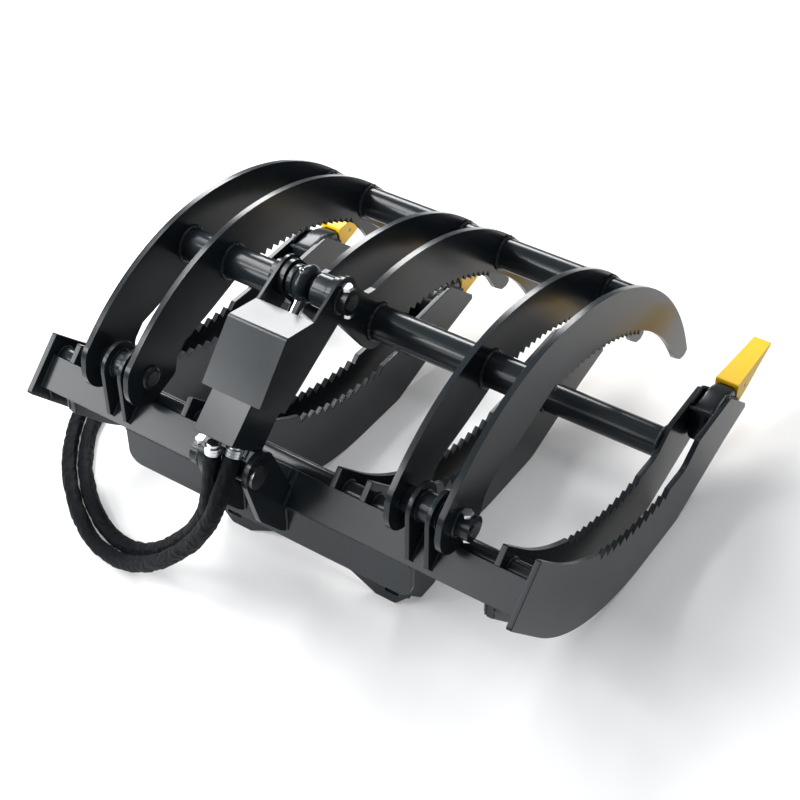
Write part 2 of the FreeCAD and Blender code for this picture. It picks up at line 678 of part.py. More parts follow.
def base_pin():
    """Base pin with its head on the right lug and a locking boss on the left one."""
    at = about("base_pin")
    face = "(Dims.lug_spread + Dims.lug_thickness) / 2"
    inside = "(Dims.lug_spread - Dims.lug_thickness) / 2"
    bolt_x = "-(%s) - %s" % (face, BASE_BOSS_LENGTH / 2)
    blank = tube_along_x("base_boss", "Dims.boss_radius", "Dims.pin_radius",
                         "-(%s) - %s" % (face, BASE_BOSS_LENGTH), "-(%s)" % face, at)
    keep("base_pin_boss", drilled("base_boss", blank, bolt_x, at))
    shaft = rod_along_x("base_shaft", "Dims.pin_radius", "-(%s) - %s - 4" % (face, BASE_BOSS_LENGTH), face, at)
    head = rod_along_x("base_head", "Dims.boss_radius - 3", face, "%s + 7" % face, at)
    keep("base_pin", drilled("base_pin", fused("base_pin_blank", [shaft, head]), bolt_x, at))
    keep("base_pin_bolt", cross_bolt("base_bolt", bolt_x, at))
    gap = "(%s + 0.5)" % FOOT_HALF
    left = tube_along_x("base_spacer_left", BASE_SPACER_RADIUS, "Dims.pin_radius",
                        "-(%s)" % inside, "Dims.cylinder_x - %s" % gap, at)
    right = tube_along_x("base_spacer_right", BASE_SPACER_RADIUS, "Dims.pin_radius",
                         "Dims.cylinder_x + %s" % gap, inside, at)
    group("base_pin_spacers", [left, right])


# ---------------------------------------------------------------- cylinder

BARREL_START = 24.0
BARREL_END = 200.0
GLAND_END = 215.0
END_WALL = 14.0
PISTON = (165.0, 185.0)
PISTON_GAP = 0.3
EYE_HALF = 15.0
EYE_OUTER = 38.0
EYE_FLAT = 8.0
ROD_IN_EYE = 30.0
IN_LINE = Rotation(X_AXIS, CYLINDER_ANGLE) * Rotation(Vector(0, 0, 1), 90)
CROSSWISE = Rotation(X_AXIS, CYLINDER_ANGLE)


def on_line(item, x="Dims.cylinder_x"):
    """Put a turned piece on the cylinder's line, its length running from the base pin."""
    return place(item, x, "Dims.base_pin_y", "Dims.base_pin_z", IN_LINE)


def beside_line(item, x="0"):
    """Turn a flat piece drawn as (along, across) into the cylinder's line."""
    return place(item, x, "Dims.base_pin_y", "Dims.base_pin_z", CROSSWISE)


def port(name, along):
    """Hose port on the front of the barrel."""
    start = DIM["bore_radius"] + 1
    boss = padded(name, ring([(along - 11, -start, 0), (along + 11, -start, 0),
                              (along + 11, -start - 16, 2), (along - 11, -start - 16, 2)]), "22", middle=True)
    return beside_line(boss, "Dims.cylinder_x")


def barrel():
    """Base eye, barrel with its closed end and two ports, and the gland."""
    at = about("base_pin")
    outside = DIM["barrel_radius"]
    inside = DIM["bore_radius"]
    shell = on_line(turned("barrel_shell", [(BARREL_START, 0), (BARREL_START, outside), (BARREL_END, outside),
                                            (BARREL_END, inside), (BARREL_START + END_WALL, inside),
                                            (BARREL_START + END_WALL, 0)]))
    foot = rod_along_x("barrel_foot", "Dims.barrel_radius", "Dims.cylinder_x - %s" % FOOT_HALF,
                       "Dims.cylinder_x + %s" % FOOT_HALF, at)
    eye = rod_along_x("barrel_eye", "Dims.pin_radius + Dims.running_gap",
                      "Dims.cylinder_x - 40", "Dims.cylinder_x + 40", at)
    tube = DOC.addObject("Part::Cut", "cylinder_barrel")
    tube.Base = fused("barrel_blank", [shell, foot, port("base_port", 52), port("rod_port", 184)])
    tube.Tool = eye
    keep("cylinder_barrel", tube)
    rod = DIM["rod_radius"] + DIM["running_gap"]
    gland = turned("cylinder_gland", [(BARREL_END, rod), (BARREL_END, outside), (GLAND_END - 2, outside),
                                      (GLAND_END, outside - 2), (GLAND_END, rod)])
    keep("cylinder_gland", on_line(gland))


def rod():
    """Chrome rod with its piston, and the rod eye on the upper pin."""
    inside = DIM["bore_radius"] - PISTON_GAP
    radius = DIM["rod_radius"]
    end = CYLINDER_LENGTH - ROD_IN_EYE
    keep("piston_rod", on_line(turned("piston_rod", [(PISTON[0], 0), (PISTON[0], inside), (PISTON[1], inside),
                                                     (PISTON[1], radius), (end, radius), (end, 0)])))
    shoulder = EYE_OUTER - 9
    outline = Outline(-EYE_HALF, DIM["pin_radius"])
    outline.line(-EYE_HALF, shoulder).line(-EYE_FLAT, EYE_OUTER)
    outline.line(EYE_FLAT, EYE_OUTER).line(EYE_HALF, shoulder)
    outline.line(EYE_HALF, DIM["pin_radius"])
    ball = DOC.addObject("PartDesign::Body", "rod_eye_ball")
    turn = ball.newObject("PartDesign::Revolution", "rod_eye_turn")
    sketch = sketch_in(ball, "rod_eye_outline", "XY_Plane", outline.closed())
    turn.Profile = sketch
    turn.ReferenceAxis = (sketch, ["H_Axis"])
    turn.Angle = 360
    ball.Tip = turn
    place(ball, "Dims.cylinder_x", "Dims.eye_pin_y", "Dims.eye_pin_z")
    socket = on_line(turned("rod_eye_socket", [(BARREL_END, 0), (BARREL_END, radius), (end, radius), (end, 0)]))
    eye = DOC.addObject("Part::Cut", "rod_eye")
    eye.Base = ball
    eye.Tool = socket
    keep("rod_eye", eye)


LEFT_BOSS_LENGTH = 19.0
RIGHT_BOSS_LENGTH = 20.0


def eye_pin():
    """Rod-eye pin with its spacers between the jaw horns and its bosses outside the straps."""
    at = about("eye_pin")
    horn = "((Dims.middle_spread - Dims.plate_thickness) / 2 - 0.5)"
    face = "Dims.cover_half_width"
    left = tube_along_x("eye_spacer_left", 31, "Dims.pin_radius", "-%s" % horn,
                        "Dims.cylinder_x - %s" % EYE_HALF, at)
    right = tube_along_x("eye_spacer_right", 32, "Dims.pin_radius",
                         "Dims.cylinder_x + %s + 10" % EYE_HALF, horn, at)
    group("eye_pin_spacers", [left, right])
    bolt_x = "%s + %s" % (face, RIGHT_BOSS_LENGTH / 2)
    welded = tube_along_x("eye_boss_left", "Dims.spacer_radius", "Dims.pin_radius",
                          "-%s - %s" % (face, LEFT_BOSS_LENGTH), "-%s" % face, at)
    locking = tube_along_x("eye_boss_right", "Dims.boss_radius", "Dims.pin_radius",
                           face, "%s + %s" % (face, RIGHT_BOSS_LENGTH), at)
    group("eye_pin_bosses", [welded, drilled("eye_boss_right", locking, bolt_x, at)])
    pin = rod_along_x("eye_pin_blank", "Dims.pin_radius", "-%s - %s - 2" % (face, LEFT_BOSS_LENGTH),
                      "%s + %s + 3" % (face, RIGHT_BOSS_LENGTH), at)
    keep("eye_pin", drilled("eye_pin", pin, bolt_x, at))
    keep("eye_pin_bolt", cross_bolt("eye_bolt", bolt_x, at))


UPPER_LOW = (110.6, 104.0)
UPPER_BEND = (239.4, 121.0)
UPPER_TOP = (288.3, 59.0)
STRAP_RADIUS = 42.0


def upper_cover():
    """Folded cover that rides on the rod-eye pin: back and top sheet with two long side plates."""
    eye = (CYLINDER_LENGTH, 0.0)
    outline = Outline(*UPPER_LOW)
    outline.corners([UPPER_BEND + (8,), UPPER_TOP + (3,), polar(eye, STRAP_RADIUS, 82) + (0,)])
    outline.arc(polar(eye, STRAP_RADIUS, -10), polar(eye, STRAP_RADIUS, -102))
    outline.line(304, -23).line(123, 16)
    edges = outline.closed()
    pieces = []
    middle = "(Dims.cover_half_width - Dims.strap_thickness / 2)"
    for side, sign in (("left", "-"), ("right", "")):
        strap = padded("cover_side_%s" % side, edges, "Dims.strap_thickness", [(eye, "pin_radius")], middle=True)
        pieces.append(beside_line(strap, sign + middle))
    sheet = DIM["sheet_thickness"]
    skin = Outline(*UPPER_LOW)
    skin.corners([UPPER_BEND + (8,), UPPER_TOP + (0,), (UPPER_TOP[0] - 0.78 * sheet, UPPER_TOP[1] - 0.62 * sheet, 0),
                  (UPPER_BEND[0] - 0.5 * sheet, UPPER_BEND[1] - 1.07 * sheet, 5),
                  (UPPER_LOW[0], UPPER_LOW[1] - sheet, 0)])
    back = padded("cover_back", skin.closed(), "2 * (Dims.cover_half_width - Dims.strap_thickness)", middle=True)
    pieces.append(beside_line(back))
    keep("upper_cover", fused("upper_cover", pieces))


LOWER_BACK = 99.0
LOWER_FRONT = -3.0
LOWER_TOP = 160.0
BRACKET = (142.0, 150.0)


def lower_cover():
    """Channel-shaped cover on a bracket of the barrel, sliding inside the upper one."""
    sheet = DIM["sheet_thickness"]
    shell = padded("cover_channel", ring([(31, LOWER_BACK, 0), (LOWER_TOP, LOWER_BACK, 0),
                                          (LOWER_TOP, LOWER_FRONT, 0), (41, LOWER_FRONT, 0)]),
                   "2 * Dims.lower_half_width", middle=True)
    hollow = ring([(20, LOWER_BACK - sheet, 0), (LOWER_TOP + 10, LOWER_BACK - sheet, 0),
                   (LOWER_TOP + 10, LOWER_FRONT - 10, 0), (20, LOWER_FRONT - 10, 0)])
    pocket(shell, "cover_hollow", hollow, "2 * (Dims.lower_half_width - Dims.sheet_thickness)")
    beside_line(shell)
    near = DIM["bore_radius"]
    arm = padded("cover_bracket", ring([(BRACKET[0], near, 0), (BRACKET[1], near, 0),
                                        (BRACKET[1], LOWER_BACK - sheet, 0), (BRACKET[0], LOWER_BACK - sheet, 0)]),
                 "20", middle=True)
    beside_line(arm, "Dims.cylinder_x")
    saddle = DOC.addObject("Part::Cut", "cover_saddle")
    saddle.Base = arm
    saddle.Tool = on_line(turned("cover_saddle_tool", [(BRACKET[0] - 5, 0), (BRACKET[0] - 5, DIM["barrel_radius"]),
                                                       (BRACKET[1] + 5, DIM["barrel_radius"]),
                                                       (BRACKET[1] + 5, 0)]))
    keep("lower_cover", fused("lower_cover", [shell, saddle]))


# ---------------------------------------------------------------- hoses

# Centre lines from the cylinder down to the floor, round in one wide loop, and forward
# along the left side of the machine, in (x, y, z) from the tines' rear corner.
HOSE_ROUTES = {
    "hose_inner": [(-9, -172, 90), (-14, -183, 0), (-45, -173, -86), (-98, -158, -170), (-160, -145, -246),
                   (-219, -134, -309), (-290, -120, -366), (-372, -107, -383), (-452, -71, -383),
                   (-530, -13, -383), (-596, 57, -383), (-648, 134, -383), (-672, 220, -383),
                   (-662, 300, -383)],
    "hose_outer": [(22, -156, 84), (20, -194, 16), (-6, -203, -57), (-48, -200, -128), (-101, -194, -196),
                   (-163, -187, -263), (-238, -170, -331), (-312, -155, -376), (-392, -142, -383),
                   (-468, -101, -383), (-540, -48, -383), (-606, 14, -383), (-660, 86, -383),
                   (-704, 166, -383), (-718, 250, -383), (-704, 332, -383)],
}
FERRULE = [(0, 0), (0, 15.5), (17, 15.5), (17, 12), (24, 12), (24, 0)]
COUPLING = [(0, 0), (0, 14.5), (14, 14.5), (14, 11), (22, 11), (22, 14), (52, 14), (52, 9), (66, 9), (66, 0)]


def smooth_path(points):
    """Straight runs joined by the largest tangent arcs that their lengths allow."""
    edges = []
    radii = []
    here = points[0]
    for before, corner, after in zip(points, points[1:], points[2:]):
        back = (before - corner).normalize()
        ahead = (after - corner).normalize()
        reach = 0.45 * min((before - corner).Length, (after - corner).Length)
        half = back.getAngle(ahead) / 2
        radius = reach * math.tan(half)
        start = corner + back * reach
        end = corner + ahead * reach
        middle = corner + (back + ahead).normalize() * (radius / math.sin(half) - radius)
        edges.append(Part.LineSegment(here, start).toShape())
        edges.append(Part.Arc(start, middle, end).toShape())
        radii.append(radius)
        here = end
    edges.append(Part.LineSegment(here, points[-1]).toShape())
    return Part.Wire(edges), radii


def hose(node, route):
    """Plain tube along a route; its fittings meet its ends face to face."""
    shift = Vector(0, -DIM["rear_setback"], DIM["floor_drop"])
    points = [Vector(*point) + shift for point in route]
    path, radii = smooth_path(points)
    direction = (points[1] - points[0]).normalize()
    radius = DIM["hose_radius"]
    section = Part.Wire(Part.Circle(points[0], direction, radius).toShape())
    shape = path.makePipeShell([section], True, False)
    expected = math.pi * radius ** 2 * path.Length
    if abs(shape.Volume / expected - 1) > 0.01:
        raise RuntimeError("%s has the wrong volume" % node)
    item = DOC.addObject("Part::Feature", node)
    item.Shape = shape
    item.Placement = FreeCAD.Placement()
    keep(node, item)
    print(node, "length", round(path.Length), "radii", [round(value) for value in radii])
    return points


def aimed(item, point, direction):
    """Place a turned piece with its length along a direction."""
    item.Placement = FreeCAD.Placement(point, Rotation(X_AXIS, direction))
    return item


def hoses():
    """Two hoses side by side, a crimped ferrule on each top end, a coupling on each far end."""
    fittings = []
    for node, route in HOSE_ROUTES.items():
        points = hose(node, route)
        fittings.append(aimed(turned(node + "_ferrule", FERRULE), points[0], points[0] - points[1]))
        fittings.append(aimed(turned(node + "_coupling", COUPLING), points[-1], points[-1] - points[-2]))
    group("hose_fittings", fittings)


# ---------------------------------------------------------------- export

def check_and_export():
    """Stop on any failed object, then write every piece."""
    DOC.recompute()
    for item in DOC.Objects:
        if "Invalid" in item.State or "Error" in item.State:
            raise RuntimeError("failed: %s %s" % (item.Label, item.State))
    for node, item in PARTS.items():
        if item.Shape.isNull() or not item.Shape.isValid() or not item.Shape.Solids:
            raise RuntimeError("bad shape: %s" % node)
    os.makedirs("parts", exist_ok=True)
    for node, item in PARTS.items():
        item.Shape.exportStep("parts/%s.step" % node)
    own = [item.Shape for node, item in PARTS.items() if not node.startswith("hose")]
    print(len(PARTS), "pieces; without the hoses", Part.makeCompound(own).BoundBox)


tine_plates()
tooth_sets()
tine_tubes()
rear_band()
hitch()
pivot_ears()
cylinder_lugs()
jaw_plates()
jaw_tubes()
jaw_pivots()
base_pin()
barrel()
rod()
eye_pin()
upper_cover()
lower_cover()
hoses()
check_and_export()
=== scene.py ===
"""Log grapple for a compact loader: the finished look of every piece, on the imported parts."""
import json
import math

import bmesh
import bpy
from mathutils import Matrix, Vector, noise

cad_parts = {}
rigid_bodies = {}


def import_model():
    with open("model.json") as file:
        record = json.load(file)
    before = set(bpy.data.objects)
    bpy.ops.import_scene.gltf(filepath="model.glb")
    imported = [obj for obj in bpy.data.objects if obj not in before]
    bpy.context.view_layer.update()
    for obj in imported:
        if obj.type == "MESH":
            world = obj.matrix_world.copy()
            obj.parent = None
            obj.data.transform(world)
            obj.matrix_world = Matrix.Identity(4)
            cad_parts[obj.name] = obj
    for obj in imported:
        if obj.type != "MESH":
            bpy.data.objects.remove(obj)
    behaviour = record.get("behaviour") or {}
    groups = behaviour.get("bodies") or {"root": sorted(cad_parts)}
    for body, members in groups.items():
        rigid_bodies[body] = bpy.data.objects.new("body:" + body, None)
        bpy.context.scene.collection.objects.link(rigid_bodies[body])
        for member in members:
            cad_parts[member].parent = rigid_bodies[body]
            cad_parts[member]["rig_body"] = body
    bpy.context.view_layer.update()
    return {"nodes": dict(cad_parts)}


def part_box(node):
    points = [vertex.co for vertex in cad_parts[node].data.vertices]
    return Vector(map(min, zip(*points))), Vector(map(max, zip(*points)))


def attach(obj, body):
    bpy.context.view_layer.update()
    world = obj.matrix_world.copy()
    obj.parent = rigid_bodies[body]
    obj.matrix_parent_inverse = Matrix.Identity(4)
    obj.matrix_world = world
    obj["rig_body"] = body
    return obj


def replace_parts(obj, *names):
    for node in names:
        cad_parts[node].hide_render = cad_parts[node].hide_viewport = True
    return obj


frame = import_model()

# ---------------------------------------------------------------- camera
# A long lens looks down on the rear of the grapple from its right, from about three metres,
# so that the four tines run away from it and the cylinder stands in the middle.

SENSOR = 36.0
camera_data = bpy.data.cameras.new("camera")
camera_data.sensor_width = SENSOR
camera_data.lens = 73.17
camera_data.clip_end = 100
camera = bpy.data.objects.new("camera", camera_data)
camera.location = (1.4360, -2.1726, 2.4161)
camera.rotation_euler = (math.radians(49.292), 0, math.radians(33.973))
bpy.context.scene.collection.objects.link(camera)
bpy.context.scene.camera = camera

# ---------------------------------------------------------------- hydraulic hoses
# Two half-inch hoses in woven textile sleeves feed the cylinder. They hang from its base, turn
# round on the ground in one loop and end in screwed couplings, with a crimped ferrule at the top.
# The sleeves are a loose fit, so the cloth stands in folds, and each has one sewn seam.

HOSE_ROUTES = {
    "hose_inner": [(-0.009, -0.6154, 0.488), (-0.014, -0.6264, 0.398), (-0.045, -0.6164, 0.312),
                   (-0.098, -0.6014, 0.228), (-0.160, -0.5884, 0.152), (-0.219, -0.5774, 0.089),
                   (-0.290, -0.5634, 0.032), (-0.372, -0.5504, 0.015), (-0.452, -0.5144, 0.015),
                   (-0.530, -0.4564, 0.015), (-0.596, -0.3864, 0.015), (-0.648, -0.3094, 0.015),
                   (-0.672, -0.2234, 0.015), (-0.662, -0.1434, 0.015)],
    "hose_outer": [(0.022, -0.5994, 0.482), (0.020, -0.6374, 0.414), (-0.006, -0.6464, 0.341),
                   (-0.048, -0.6434, 0.270), (-0.101, -0.6374, 0.202), (-0.163, -0.6304, 0.135),
                   (-0.238, -0.6134, 0.067), (-0.312, -0.5984, 0.022), (-0.392, -0.5854, 0.015),
                   (-0.468, -0.5444, 0.015), (-0.540, -0.4914, 0.015), (-0.606, -0.4294, 0.015),
                   (-0.660, -0.3574, 0.015), (-0.704, -0.2774, 0.015), (-0.718, -0.1934, 0.015),
                   (-0.704, -0.1114, 0.015)],
}
SLEEVE_DIAMETER = 0.030
SLEEVE_SIDES = 40
SLEEVE_SLACK = 0.0012
SLEEVE_ROUND = 0.094
SEAM_ANGLE = 3.9
SEAM_SPREAD = 0.10
SEAM_HEIGHT = 0.0010
BROAD_FOLD = 0.0016
SMALL_CREASE = 0.0009
SHARP_RIDGE = 0.0018
FERRULE_PROFILE = [(0, 0), (0, 0.0138), (0.002, 0.0154), (0.0045, 0.0154), (0.005, 0.0149), (0.0065, 0.0149),
                   (0.007, 0.0154), (0.0105, 0.0154), (0.011, 0.0149), (0.0125, 0.0149), (0.013, 0.0154),
                   (0.016, 0.0154), (0.017, 0.0144), (0.017, 0.012), (0.023, 0.012), (0.024, 0.011),
                   (0.024, 0)]
COUPLING_PROFILE = [(0, 0), (0, 0.013), (0.0015, 0.0145), (0.014, 0.0145), (0.014, 0.011), (0.022, 0.011),
                    (0.022, 0.0132), (0.023, 0.014), (0.051, 0.014), (0.052, 0.0132), (0.052, 0.009),
                    (0.065, 0.009), (0.066, 0.008), (0.066, 0)]


def mesh_piece(name, form, material, body, smooth=True):
    """Turn a bmesh into a piece that rides on a body and takes the given material."""
    mesh = bpy.data.meshes.new(name)
    bmesh.ops.recalc_face_normals(form, faces=form.faces)
    for face in form.faces:
        face.smooth = smooth
    form.to_mesh(mesh)
    form.free()
    mesh.materials.append(material)
    piece = bpy.data.objects.new(name, mesh)
    bpy.context.scene.collection.objects.link(piece)
    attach(piece, body)
    return piece


def lathed(form, profile, start, direction, sides=32):
    """Turn an (along, radius) profile about a line, into the form."""
    turn = direction.to_track_quat("Z", "Y").to_matrix()
    rings = []
    for along, radius in profile:
        ring = []
        for side in range(sides if radius > 0 else 1):
            angle = 2 * math.pi * side / sides
            point = Vector((radius * math.cos(angle), radius * math.sin(angle), along))
            ring.append(form.verts.new(start + turn @ point))
        rings.append(ring)
    for low, high in zip(rings, rings[1:]):
        for side in range(sides):
            after = (side + 1) % sides
            corners = [low[side % len(low)], low[after % len(low)],
                       high[after % len(high)], high[side % len(high)]]
            unique = list(dict.fromkeys(corners))
            if len(unique) > 2:
                form.faces.new(unique)


def new_group(name, inputs, outputs):
    """Empty shader node group with named value inputs and outputs."""
    group = bpy.data.node_groups.new(name, "ShaderNodeTree")
    for label, default in inputs:
        socket = group.interface.new_socket(label, in_out="INPUT", socket_type="NodeSocketFloat")
        socket.default_value = default
    for label in outputs:
        group.interface.new_socket(label, in_out="OUTPUT", socket_type="NodeSocketFloat")
    return group, group.nodes.new("NodeGroupInput"), group.nodes.new("NodeGroupOutput")


def new_material(name, rough, metallic=0.0):
    """Material with its Principled shader, ready for its own nodes."""
    material = bpy.data.materials.new(name)
    material.use_nodes = True
    shader = material.node_tree.nodes["Principled BSDF"]
    shader.inputs["Roughness"].default_value = rough
    shader.inputs["Metallic"].default_value = metallic
    return material, material.node_tree.nodes, material.node_tree.links, shader


def blended(nodes, links, mask, dark, light):
    """Colour between two, by a mask."""
    mix = nodes.new("ShaderNodeMix")
    mix.data_type = "RGBA"
    mix.inputs["A"].default_value = (*dark, 1)
    mix.inputs["B"].default_value = (*light, 1)
    links.new(mask, mix.inputs["Factor"])
    return mix.outputs["Result"]


def bumped(nodes, links, height, strength, distance, shader):
    """Bump from a height, into the shader's normal."""
    bump = nodes.new("ShaderNodeBump")
    bump.inputs["Strength"].default_value = strength
    bump.inputs["Distance"].default_value = distance
    links.new(height, bump.inputs["Height"])
    links.new(bump.outputs["Normal"], shader.inputs["Normal"])


def weave_group():
    """Plain weave over a piece's own map: threads over and under, and a slow wear of the cloth."""
    group, given, result = new_group("plain_weave", [("Threads", 300.0), ("Wear Size", 60.0)],
                                     ["Height", "Wear"])
    nodes, links = group.nodes, group.links
    place = nodes.new("ShaderNodeTexCoord")
    bands = []
    for direction in ("X", "Y"):
        wave = nodes.new("ShaderNodeTexWave")
        wave.bands_direction = direction
        links.new(place.outputs["UV"], wave.inputs["Vector"])
        links.new(given.outputs["Threads"], wave.inputs["Scale"])
        bands.append(wave)
    both = nodes.new("ShaderNodeMath")
    both.operation = "MAXIMUM"
    links.new(bands[0].outputs["Fac"], both.inputs[0])
    links.new(bands[1].outputs["Fac"], both.inputs[1])
    links.new(both.outputs["Value"], result.inputs["Height"])
    cloud = nodes.new("ShaderNodeTexNoise")
    links.new(place.outputs["Object"], cloud.inputs["Vector"])
    links.new(given.outputs["Wear Size"], cloud.inputs["Scale"])
    cloud.inputs["Detail"].default_value = 5
    links.new(cloud.outputs["Fac"], result.inputs["Wear"])
    return group


def sleeve_cloth():
    """Black woven polyamide with a cool sheen, a little greyer in slow random patches."""
    material, nodes, links, shader = new_material("textile_sleeve", 0.6)
    shader.inputs["Specular IOR Level"].default_value = 0.06
    shader.inputs["Sheen Weight"].default_value = 0.006
    shader.inputs["Sheen Roughness"].default_value = 0.4
    shader.inputs["Sheen Tint"].default_value = (0.7, 0.8, 1.0, 1)
    weave = nodes.new("ShaderNodeGroup")
    weave.node_tree = weave_group()
    colour = blended(nodes, links, weave.outputs["Wear"], (0.0020, 0.0025, 0.0032), (0.006, 0.0075, 0.0095))
    links.new(colour, shader.inputs["Base Color"])
    bumped(nodes, links, weave.outputs["Height"], 0.25, 0.0004, shader)
    return material


def metal_group():
    """Machined or plated metal: slow clouding and fine scratches."""
    group, given, result = new_group("worked_metal", [("Cloud Size", 30.0), ("Scratch Size", 400.0)],
                                     ["Cloud", "Scratch"])
    nodes, links = group.nodes, group.links
    place = nodes.new("ShaderNodeTexCoord")
    for label, size, detail in (("Cloud", "Cloud Size", 4), ("Scratch", "Scratch Size", 2)):
        speck = nodes.new("ShaderNodeTexNoise")
        speck.inputs["Detail"].default_value = detail
        links.new(place.outputs["Object"], speck.inputs["Vector"])
        links.new(given.outputs[size], speck.inputs["Scale"])
        links.new(speck.outputs["Fac"], result.inputs[label])
    return group


worked_metal = metal_group()


def metal(name, dark, light, rough, bump):
    """Bare or plated metal from the worked-metal group."""
    material, nodes, links, shader = new_material(name, rough, 1.0)
    work = nodes.new("ShaderNodeGroup")
    work.node_tree = worked_metal
    links.new(blended(nodes, links, work.outputs["Cloud"], dark, light), shader.inputs["Base Color"])
    spread = nodes.new("ShaderNodeMapRange")
    spread.inputs["To Min"].default_value = rough * 0.75
    spread.inputs["To Max"].default_value = rough * 1.35
    links.new(work.outputs["Cloud"], spread.inputs["Value"])
    links.new(spread.outputs["Result"], shader.inputs["Roughness"])
    bumped(nodes, links, work.outputs["Scratch"], bump, 0.0002, shader)
    return material


zinc = metal("zinc_plate", (0.50, 0.52, 0.54), (0.72, 0.73, 0.74), 0.28, 0.15)
cloth = sleeve_cloth()


def centre_line(name, route):
    """Points of the smooth line that a route's points control."""
    curve = bpy.data.curves.new(name + "_route", "CURVE")
    curve.dimensions = "3D"
    curve.resolution_u = 26
    spline = curve.splines.new("NURBS")
    spline.points.add(len(route) - 1)
    for control, place in zip(spline.points, route):
        control.co = (*place, 1)
    spline.order_u = 3
    spline.use_endpoint_u = True
    holder = bpy.data.objects.new(name + "_route", curve)
    line = bpy.data.meshes.new_from_object(holder)
    points = [vertex.co.copy() for vertex in line.vertices]
    bpy.data.objects.remove(holder)
    bpy.data.curves.remove(curve)
    bpy.data.meshes.remove(line)
    return points


def fold(angle, along, seed):
    """How far the cloth stands off its hose: long crosswise folds, small creases and the seam."""
    round_x = math.cos(angle)
    round_y = math.sin(angle)
    broad = noise.noise(Vector((round_x * 1.1 + seed, round_y * 1.1, along * 24)))
    crease = noise.noise(Vector((round_x * 2.6, round_y * 2.6 + seed, along * 70)))
    ridge = 1 - abs(noise.noise(Vector((round_x * 1.6 - seed, round_y * 1.6, along * 45)))) * 2
    seam = math.exp(-(((angle - SEAM_ANGLE) / SEAM_SPREAD) ** 2))
    return BROAD_FOLD * broad + SMALL_CREASE * crease + SHARP_RIDGE * (ridge - 0.6) + SEAM_HEIGHT * seam


def sleeve(name, route, seed):
    """Textile sleeve along a hose's line."""
    points = centre_line(name, route)
    form = bmesh.new()
    layer = form.loops.layers.uv.new("sleeve")
    across = Vector((1, 0, 0))
    along = 0.0
    rings = []
    lengths = []
    for index, point in enumerate(points):
        before = points[max(index - 1, 0)]
        after = points[min(index + 1, len(points) - 1)]
        ahead = (after - before).normalized()
        across = (across - ahead * across.dot(ahead)).normalized()
        upward = ahead.cross(across)
        along += (point - before).length
        lengths.append(along)
        ring = []
        for side in range(SLEEVE_SIDES):
            angle = 2 * math.pi * side / SLEEVE_SIDES
            reach = SLEEVE_DIAMETER / 2 + SLEEVE_SLACK + fold(angle, along, seed)
            skin = point + (across * math.cos(angle) + upward * math.sin(angle)) * reach
            skin.z = max(skin.z, 0.0)
            ring.append(form.verts.new(skin))
        rings.append(ring)
    for index, (low, high) in enumerate(zip(rings, rings[1:])):
        for side in range(SLEEVE_SIDES):
            after = (side + 1) % SLEEVE_SIDES
            face = form.faces.new((low[side], low[after], high[after], high[side]))
            corners = ((side, index), (side + 1, index), (side + 1, index + 1), (side, index + 1))
            for loop, (turn, station) in zip(face.loops, corners):
                loop[layer].uv = (turn / SLEEVE_SIDES * SLEEVE_ROUND, lengths[station])
    form.faces.new(list(reversed(rings[0])))
    form.faces.new(rings[-1])
    piece = mesh_piece(name + "_sleeve", form, cloth, "frame")
    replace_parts(piece, name)
    return piece, points


for seed, (hose, route) in enumerate(HOSE_ROUTES.items()):
    piece, points = sleeve(hose, route, seed * 7.3)
    ends = bmesh.new()
    lathed(ends, FERRULE_PROFILE, points[0], (points[0] - points[1]).normalized())
    lathed(ends, COUPLING_PROFILE, points[-1], (points[-1] - points[-2]).normalized())
    fittings = mesh_piece(hose + "_ends", ends, zinc, "frame", smooth=False)
    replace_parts(fittings, "hose_fittings")

# ---------------------------------------------------------------- tines and tine tubes
# Eight flame-cut plates in four pairs, joined near their tips by short tubes. All plates are
# 12 mm steel, blasted and powder coated in glossy anthracite, with their cut edges broken.

PAINT_DARK = (0.010, 0.0135, 0.016)
PAINT_LIGHT = (0.015, 0.0195, 0.023)
DUST_GREY = (0.10, 0.11, 0.12)
CUT_EDGE = 0.0011
SHARP = math.radians(30)
LEVEL = math.radians(0.5)
TOUCHING = 0.00002


def coat_group():
    """Powder coat: orange peel, slow clouding, and fine dust where the face looks up."""
    values = [("Peel Size", 900.0), ("Cloud Size", 7.0), ("Dust", 0.3)]
    group, given, result = new_group("powder_coat", values, ["Height", "Cloud", "Dust Mask"])
    nodes, links = group.nodes, group.links
    place = nodes.new("ShaderNodeTexCoord")
    for label, size, detail in (("Height", "Peel Size", 2), ("Cloud", "Cloud Size", 5)):
        speck = nodes.new("ShaderNodeTexNoise")
        speck.inputs["Detail"].default_value = detail
        links.new(place.outputs["Object"], speck.inputs["Vector"])
        links.new(given.outputs[size], speck.inputs["Scale"])
        links.new(speck.outputs["Fac"], result.inputs[label])
    facing = nodes.new("ShaderNodeSeparateXYZ")
    surface = nodes.new("ShaderNodeNewGeometry")
    links.new(surface.outputs["Normal"], facing.inputs["Vector"])
    upward = nodes.new("ShaderNodeMapRange")
    upward.inputs["From Min"].default_value = 0.3
    upward.inputs["From Max"].default_value = 1.0
    links.new(facing.outputs["Z"], upward.inputs["Value"])
    grains = nodes.new("ShaderNodeTexNoise")
    grains.inputs["Scale"].default_value = 60
    grains.inputs["Detail"].default_value = 8
    links.new(place.outputs["Object"], grains.inputs["Vector"])
    settled = nodes.new("ShaderNodeMath")
    settled.operation = "MULTIPLY"
    links.new(upward.outputs["Result"], settled.inputs[0])
    links.new(grains.outputs["Fac"], settled.inputs[1])
    amount = nodes.new("ShaderNodeMath")
    amount.operation = "MULTIPLY"
    links.new(settled.outputs["Value"], amount.inputs[0])
    links.new(given.outputs["Dust"], amount.inputs[1])
    links.new(amount.outputs["Value"], result.inputs["Dust Mask"])
    return group


powder_coat = coat_group()


